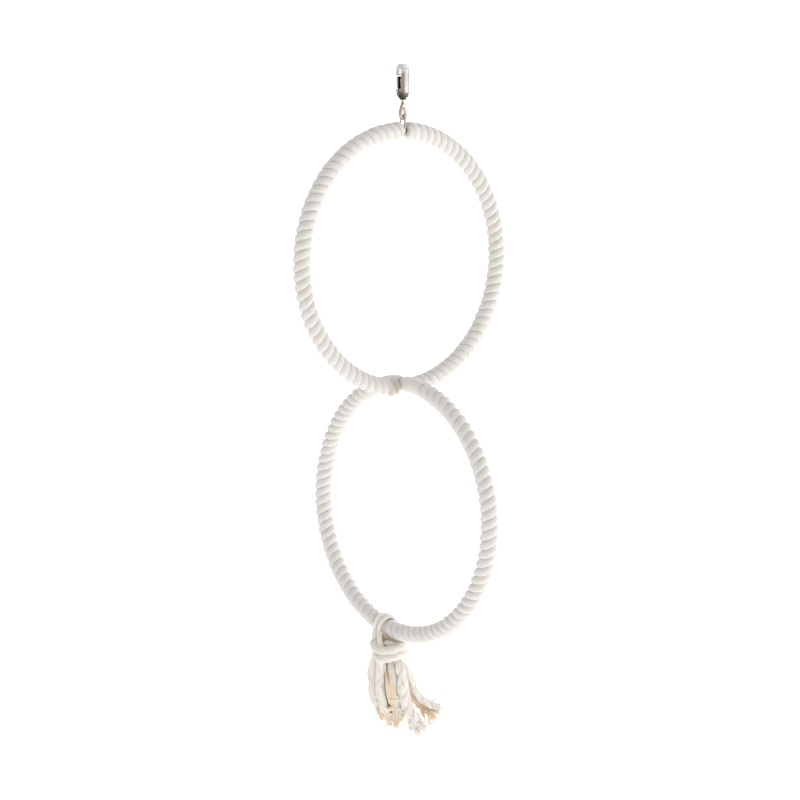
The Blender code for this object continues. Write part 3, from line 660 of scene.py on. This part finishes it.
# The binding's outer turns, drawn over the near legs
KNOT_WRAPS = [
    [(-8.4, 6.2, -2.2), (-12.2, 3.0, -2.0), (-13.4, -2.4, -1.0), (-11.4, -8.4, 1.0), (-6.0, -12.2, 1.8),
     (1.0, -12.0, 0.8), (6.4, -8.8, -0.6), (8.6, -3.6, -1.2), (7.6, 2.4, -1.2)],
    [(-9.0, -4.6, 8.6), (-9.8, -8.8, 8.2), (-5.4, -12.0, 7.6), (1.4, -12.0, 6.2), (6.8, -9.0, 4.8),
     (8.8, -4.2, 4.2), (7.4, 1.8, 4.0)],
]
COIL_FULLNESS = 1.1
WRAP_FULLNESS = 1.5

# A strand tucked behind the front left tail
TUCKED_STRAND = [(-6.4, -3.6, 1.0), (-6.6, -4.4, 7.5), (-6.4, -4.6, 14.0), (-6.2, -4.4, 24.0),
                 (-5.8, -4.4, 33.0)]
TUCKED_RADIUS = 0.0018

# Tan yarn over the middle tail, and how far apart its yarns lie, in millimetres
STRAYED_YARN = [(-5.4, -4.0, 19.0), (-4.6, -9.2, 27.0), (-3.6, -9.8, 36.0), (-2.4, -8.4, 43.5)]
STRAYED_COUNT = 8
STRAYED_SPACING = 0.9
STRAYED_RADIUS = 0.0007

# Tan yarn caught in the knot, and how far aside and how much lower each of its yarns lies
KNOT_YARN = [(-3.0, 1.0, 2.0), (-4.0, 1.5, -1.6), (-6.4, 1.8, -4.2), (-9.0, 0.6, -6.2)]
KNOT_YARNS = [(0.0, 0.0), (1.2, -1.4), (2.4, -1.2), (3.4, 0.2), (-0.8, 1.4)]
KNOT_YARN_RADIUS = 0.0014

# Other yarn: the tan core of a white tail's cut end, the loose yarns on each tail, the thinnest and
# thickest of the loose and the curled ones, and the shortest and longest at a cut end
CORE_RADIUS = 0.0027
LOOSE_YARNS = 9
LOOSE_RADII = (0.0005, 0.0009)
CURL_RADII = (0.0006, 0.0011)
FRAY_LENGTHS = (0.0022, 0.0045)

# What is added to a tail's seed for each kind of yarn
CURL_SEED = 80
STRAYED_SEED = 60
LOOSE_SEED = 40


def from_neck(point):
    """The place that is so many millimetres right, back and down from the collar, as the camera sees it."""
    right, back, down = (value * MM for value in point)
    x = right * math.cos(VIEW_TURN) - back * math.sin(VIEW_TURN)
    y = right * math.sin(VIEW_TURN) + back * math.cos(VIEW_TURN)
    return np.array((x, NECK_CENTRE[1] + y, COLLAR_TOP - down))


def route_from_neck(points, count):
    return smooth_route([from_neck(point) for point in points], count)


def frayed_end(name, path, radius, seed, kind):
    """Loose yarns that leave a rope's cut end, spread and droop."""
    fray = FRAYS[kind]
    side, over = steady_frames(path)
    rng = np.random.default_rng(seed)
    ahead = path[-1] - path[-4]
    ahead = ahead / np.linalg.norm(ahead)
    yarns = []
    for index in range(fray.count):
        turn = 2 * math.pi * (index + 0.3 * rng.random()) / fray.count
        out = math.cos(turn) * side[-1] + math.sin(turn) * over[-1]
        far = fray.wide * radius * math.sqrt(rng.random())
        long = rng.uniform(*FRAY_LENGTHS) * fray.length
        spread = rng.uniform(0.1, fray.splay)
        droop = np.array((0, 0, -0.25 * long * rng.random()))
        root = path[-4 - rng.integers(0, fray.deep)] + out * far
        stray = rng.normal(0.0, fray.waver, 3) * long
        bends = [root, root + (ahead + out * spread * 0.3) * long * 0.35 + stray,
                 root + (ahead + out * spread * 0.7) * long * 0.7 - stray * 0.6,
                 root + (ahead + out * spread) * long + stray + droop]
        yarn = smooth_route(bends, 8)
        before_tip = 0.1 * yarn[-2] + 0.9 * yarn[-1]
        yarn = np.insert(yarn, len(yarn) - 1, before_tip, axis=0)
        thin = radius * fray.share * np.linspace(1.0, 0.75, len(yarn))
        yarns.append(swept_rope(f"{name}_{index}", yarn, thin, "frayed"))
    return yarns


def curls(name, path, forward, count, seed):
    """Yarns that leave a rope near its end and curl across it, some way forward of it."""
    rng = np.random.default_rng(seed + CURL_SEED)
    across = from_neck((1, 0, 0)) - from_neck((0, 0, 0))
    nearer = from_neck((0, -1, 0)) - from_neck((0, 0, 0))
    yarns = []
    for index in range(count):
        root = path[rng.integers(60, 86)]
        bends = [root - across * 2.5 * rng.uniform(0.4, 1.0)]
        for step in (0.2, 0.6, 1.0):
            reach = rng.uniform(2.5, 7.0) * step
            fall = np.array((0, 0, -0.0035)) * rng.uniform(-0.4, 1.4) * step
            bends.append(root + across * reach + nearer * forward * rng.uniform(0.7, 1.15) + fall)
        thick = rng.uniform(*CURL_RADII)
        yarns.append(swept_rope(f"{name}_{index}", smooth_route(bends, 14), thick, "curled"))
    return yarns


def knot_yarns(name):
    """Tan yarn that shows in the knot, between its turns and the ring."""
    yarns = []
    for index, (aside, lower) in enumerate(KNOT_YARNS):
        bends = [(right + aside, back, down + lower) for right, back, down in KNOT_YARN]
        yarns.append(swept_rope(f"{name}_{index}", route_from_neck(bends, 16), KNOT_YARN_RADIUS, "in_knot"))
    return yarns


def strayed_yarns(name, seed):
    """Tan yarn that has come forward over the middle tail."""
    rng = np.random.default_rng(seed + STRAYED_SEED)
    yarns = []
    for index in range(STRAYED_COUNT):
        bends = []
        for right, back, down in STRAYED_YARN:
            aside = right + STRAYED_SPACING * index + rng.uniform(-0.5, 0.5)
            bends.append((aside, back + rng.uniform(-0.6, 0.3), down + rng.uniform(-1.5, 1.5)))
        yarns.append(swept_rope(f"{name}_{index}", route_from_neck(bends, 20), STRAYED_RADIUS, "strayed"))
    return yarns


def loose_yarns(name, path, radius, seed):
    """Single yarns that lie along a tail, wander round it and stand off it here and there."""
    side, over = steady_frames(path)
    rng = np.random.default_rng(seed + LOOSE_SEED)
    yarns = []
    for index in range(LOOSE_YARNS):
        first = rng.integers(16, 34)
        last = rng.integers(70, len(path))
        at = np.arange(first, last)
        turn = rng.uniform(0, 2 * math.pi) + 1.6 * slow_wander(at * 0.07, rng.uniform(0, 9))
        far = radius[at] * (0.93 + 0.16 * slow_wander(at * 0.16, rng.uniform(0, 9)))
        out = np.cos(turn)[:, None] * side[at] + np.sin(turn)[:, None] * over[at]
        yarn = path[at] + out * far[:, None]
        thin = rng.uniform(*LOOSE_RADII) * (1 - 0.5 * np.linspace(-1, 1, at.size) ** 4)
        yarns.append(swept_rope(f"{name}_{index}", yarn, thin, "wandering"))
    return yarns


def tail_radius(name, path, full, neck_width, seed):
    """A tail's radius at each point: narrow in the neck, full below it and a little uneven."""
    neck_end = COLLAR_TOP - (COLLAR_TURNS - COLLAR_LEAD) * COLLAR_PITCH - COLLAR_ROPE / 2
    swell = np.clip((neck_end - path[:, 2]) / (2 * COLLAR_ROPE), 0, 1)
    radius = (neck_width + (full - neck_width) * swell) / 2
    radius = radius * (1 + 0.07 * slow_wander(np.linspace(0, 9, TAIL_POINTS), seed))
    if name in FULL_TAILS:
        radius = radius * np.linspace(0.9, 1.22, TAIL_POINTS)
    return radius


def make_tail(name, slot, width, neck_width, route, seed):
    """A tail's rope and, as a second piece, the yarn that has come loose from it."""
    is_tan = slot == "tan_fibre"
    material = TAN_FIBRE if is_tan else TAIL_COTTON
    path = route_from_neck(route, TAIL_POINTS)
    full = width * MM
    radius = tail_radius(name, path, full, neck_width, seed)
    if name in TWISTED_TAILS:
        laid = "twisted_tail"
    else:
        laid = "tan_tail" if is_tan else "loose_tail"
    ends = (0.1, 0.3) if neck_width == SIDE_STRAND else (0.6, 0.3)
    piece = swept_rope(name + "_rope", path, radius, laid, ends)
    dressed(piece, material, "tassel", slot, name)
    if is_tan:
        kind = "tuft"
    else:
        kind = "flared" if name in FULL_TAILS else "blunt"
    yarns = frayed_end(name + "_end", path, full / 2, seed, kind)
    yarns.extend(loose_yarns(name + "_yarn", path, radius, seed))
    if name in CURLED_TAILS:
        forward, count = (7.2, 6) if is_tan else (width / 2, 4)
        yarns.extend(curls(name + "_curl", path, forward, count, seed))
    if name == "tail_left_front":
        tucked = route_from_neck(TUCKED_STRAND, 30)
        yarns.append(swept_rope(name + "_tucked", tucked, TUCKED_RADIUS, "tucked"))
    if name == "tail_left_tan":
        yarns.extend(knot_yarns(name + "_knot"))
        yarns.extend(strayed_yarns(name + "_strayed", seed))
        for other in CORED_TAILS:
            beside = route_from_neck(TAILS[other][3], TAIL_POINTS)
            yarns.extend(frayed_end(f"{name}_{other}", beside, CORE_RADIUS, seed + len(yarns), "core"))
    fray = dressed(joined(name + "_fray", yarns), material, "tassel", slot)


def make_hitch(node, side, near_tail, near_leg, far_leg):
    """Rope folded over the ring and pressed flat on it, from inside its near tail to its far leg's end."""
    along = TASSEL_ALONG + side * HITCH_SPACING / 2
    out = LOWER.outward(along - QUARTER)
    over = []
    for turn in range(-PRESSED_TURN, PRESSED_TURN + 1, PRESSED_STEP):
        sideways = np.array((PRESSED_RADIUS * math.sin(math.radians(turn)), 0, 0))
        over.append(below_ring(along) + sideways - out * PRESSED_RADIUS * math.cos(math.radians(turn)))
    tail_route = TAILS[near_tail][3]
    near = [from_neck(point) for point in [*tail_route[1::-1], *near_leg]]
    far = [from_neck(point) for point in reversed(far_leg)]
    path = smooth_route([*near, *over, *far], HITCH_POINTS)
    height = path[:, 2]
    on_near_leg = path[:, 0] < 0

    # Thin in the neck, full at the near tail's width below the ring, and inside that tail at its end
    off_axis = np.hypot(path[:, 0], path[:, 1] - NECK_CENTRE[1])
    in_neck = (off_axis < COLLAR_RADIUS) & (height < NECK_CENTRE[2] - WINDING_CREST)
    thin = np.convolve(np.pad(in_neck.astype(float), 6, mode="edge"), np.ones(13) / 13, "valid")
    swell = np.clip((NECK_CENTRE[2] - height) / LEG_SWELL, 0, 1) * on_near_leg
    slipped = np.clip((from_neck(tail_route[0])[2] - height) / SLIP_LENGTH, 0, 1) * on_near_leg
    radius = (HITCH_ROPE + (NECK_STRAND - HITCH_ROPE) * thin) / 2
    radius = radius + (LEG_FULLNESS * SIDE_STRAND - HITCH_ROPE) / 2 * swell - SLIP_THINNER * slipped

    # Frames that face out from the ring, so that the flat side lies on it
    ahead = directions(path)
    beside = np.tile(below_ring(along), (len(path), 1))
    beside[:, 2] = np.minimum(beside[:, 2], height)
    outward = path - beside
    outward -= ahead * np.sum(outward * ahead, axis=1)[:, None]
    outward /= np.linalg.norm(outward, axis=1)[:, None]
    frames = (outward, np.cross(ahead, outward))
    wide = 1 + PRESSED_WIDER * (1 - thin) * (1 - swell)
    piece = swept_rope(node.replace("rope", "over"), path, radius, "hitch", (0.1, 0.6), frames, wide)
    dressed(piece, TAIL_COTTON, "tassel", "cotton_rope", node)


def make_collar():
    """The binding round the neck, with its outer turns."""
    turn = 2 * math.pi * (np.linspace(0, COLLAR_TURNS, 100) - COLLAR_LEAD)
    middle = from_neck((0, 0, 0))
    path = np.stack([middle[0] + COLLAR_RADIUS * np.cos(turn), middle[1] + COLLAR_RADIUS * np.sin(turn),
                     middle[2] - COLLAR_PITCH * turn / (2 * math.pi)], axis=1)
    ropes = [swept_rope("binding_rope", path, COIL_FULLNESS * COLLAR_ROPE / 2, "coil")]
    for route in KNOT_WRAPS:
        over = route_from_neck(route, 70)
        ropes.append(swept_rope("binding_wrap", over, WRAP_FULLNESS * COLLAR_ROPE / 2, "wrap"))
    dressed(joined("binding_rope", ropes), KNOT_COTTON, "tassel", "cotton_rope", "knot_binding")


def make_tassel():
    for seed, (name, spec) in enumerate(TAILS.items(), 1):
        make_tail(name, *spec, seed)
    for name, spec in HITCHES.items():
        make_hitch(name, *spec)
    make_collar()


# Metal


def polished(node, sharp=METAL_SMOOTH):
    """A copy of a metal solid with its facets merged, smooth where they meet at less than sharp degrees."""
    piece = bpy.data.objects.new(node + "_finish", nodes[node].data.copy())
    piece.data.name = piece.name
    bpy.context.scene.collection.objects.link(piece)
    bpy.ops.object.select_all(action="DESELECT")
    piece.select_set(True)
    bpy.context.view_layer.objects.active = piece
    bpy.ops.object.mode_set(mode="EDIT")
    bpy.ops.mesh.select_all(action="SELECT")
    bpy.ops.mesh.remove_doubles(threshold=FACET_MERGE)
    bpy.ops.object.mode_set(mode="OBJECT")
    bpy.ops.object.shade_smooth_by_angle(angle=math.radians(sharp))
    return piece


# Stage


def stage_plane(name, place, tilt, size):
    """A pale sheet that glows a little, so that the background stays white."""
    bpy.ops.object.select_all(action="DESELECT")
    bpy.ops.mesh.primitive_plane_add(size=size, location=place, rotation=tilt)
    sheet = bpy.context.object
    sheet.name = name
    pale = Finish(name, 0.9)
    speck = pale.noise(pale.inside, 3.0)
    pale.set("Base Color", speck.mixed((0.96, 0.96, 0.96, 1.0), (0.94, 0.94, 0.94, 1.0)))
    pale.set("Emission Color", (1.0, 1.0, 1.0, 1.0))
    pale.set("Emission Strength", SHEET_GLOW)
    sheet.data.materials.append(pale.material)


# Camera, lights and materials

place_camera()
light_stage()

# The last pair of ranges places painted shade on the winding beside the rings' crossing
COTTON = rope_finish("cotton_rope", (0.81, 0.775, 0.737), (0.63, 0.585, 0.535),
                     strands=3, lines=0.08, sheen=0.45, crossing_shade=((-0.0160, -0.0065), (-0.246, -0.216)))
TAIL_COTTON = rope_finish("tail_cotton", (0.93, 0.89, 0.83), (0.82, 0.74, 0.64),
                          strands=3, lines=0.25, sheen=0.3)
KNOT_COTTON = rope_finish("knot_cotton", (0.86, 0.82, 0.76), (0.73, 0.67, 0.59),
                          strands=3, lines=0.25, sheen=0.3)
TAN_FIBRE = rope_finish("tan_fibre", (0.96, 0.81, 0.62), (0.85, 0.66, 0.45),
                        strands=3, lines=0.4, sheen=0.2)
BAND_COTTON = rope_finish("band_cotton", (0.84, 0.80, 0.76), (0.70, 0.65, 0.60),
                          strands=1, lines=0.1, sheen=0.25)

DRAWN = (90.0, 90.0, 900.0)
NICKEL = metal_finish("nickel", (0.56, 0.52, 0.44), (0.40, 0.36, 0.29), roughness=0.3, streaks=DRAWN)
HOOP_STEEL = metal_finish("hoop_steel", (0.60, 0.58, 0.54), (0.42, 0.38, 0.33),
                          roughness=0.38, streaks=(200.0, 200.0, 200.0))
# The gate's hollow is painted near black as shade
GATE_NICKEL = metal_finish("gate_nickel", (0.74, 0.70, 0.66), (0.50, 0.46, 0.40),
                           roughness=0.3, streaks=DRAWN, hollow=(-0.00181, 0.0011, 0.0041))
# The hook's body carries painted shade at its foot and painted highlights on its crown and on its side
# facing the lamps
HOOK_NICKEL = metal_finish("hook_nickel", (0.45, 0.415, 0.335), (0.36, 0.325, 0.255),
                           roughness=0.26, streaks=DRAWN,
                           shade_below=(-0.0155, 0.004), highlight_above=(-0.0045, 0.003), lit_side=-0.0041)
SPRING_STEEL = metal_finish("spring_steel", (0.46, 0.46, 0.47), (0.34, 0.32, 0.30),
                            roughness=0.32, streaks=(300.0, 300.0, 300.0))

# Assembly

METALS = {
    "snap_hook_body": (HOOK_NICKEL, "hook", "nickel"),
    "gate_pin": (NICKEL, "hook", "nickel"),
    "snap_hook_gate": (GATE_NICKEL, "gate", "nickel"),
    "swivel_eye": (NICKEL, "swivel", "nickel"),
    "hanger_loop": (NICKEL, "hanger", "nickel"),
    "upper_hoop": (HOOP_STEEL, "upper_ring", "hoop_steel"),
    "lower_hoop": (HOOP_STEEL, "lower_ring", "hoop_steel"),
}
for node, spec in METALS.items():
    dressed(polished(node, HOOK_SMOOTH if node == "snap_hook_body" else METAL_SMOOTH), *spec, node)
spring = dressed(polished("gate_spring"), SPRING_STEEL, None, "spring_steel", "gate_spring")
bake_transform(spring)

make_tassel()
HANGER_EDGE = HANGER_HALF_GAP + HANGER_SLACK
BAND_EDGE = BAND_END + BAND_SLACK
wound_rope("wound_rope_left", UPPER, QUARTER + HANGER_EDGE, 3 * QUARTER - CROSSING_HALF_GAP,
           seed=1.3, body="upper_ring", node="upper_winding_left")
wound_rope("wound_rope_right", UPPER, 3 * QUARTER + CROSSING_HALF_GAP, 5 * QUARTER - HANGER_EDGE,
           seed=4.1, body="upper_ring", node="upper_winding_right")
wound_rope("wound_rope_lower", LOWER, QUARTER + BAND_EDGE, 5 * QUARTER - BAND_EDGE,
           seed=7.7, body="lower_ring", node="lower_winding")
cotton_band("served_band_far", QUARTER - BAND_END, QUARTER - BAND_START, "joint_band_far")
cotton_band("served_band_near", QUARTER + BAND_START, QUARTER + BAND_END, "joint_band_near")

stage_plane("floor", (0, 0, -0.78), (0, 0, 0), size=14.0)
stage_plane("backdrop", (2.3, 2.65, 1.0), (math.radians(90), 0, VIEW_TURN), size=8.0)
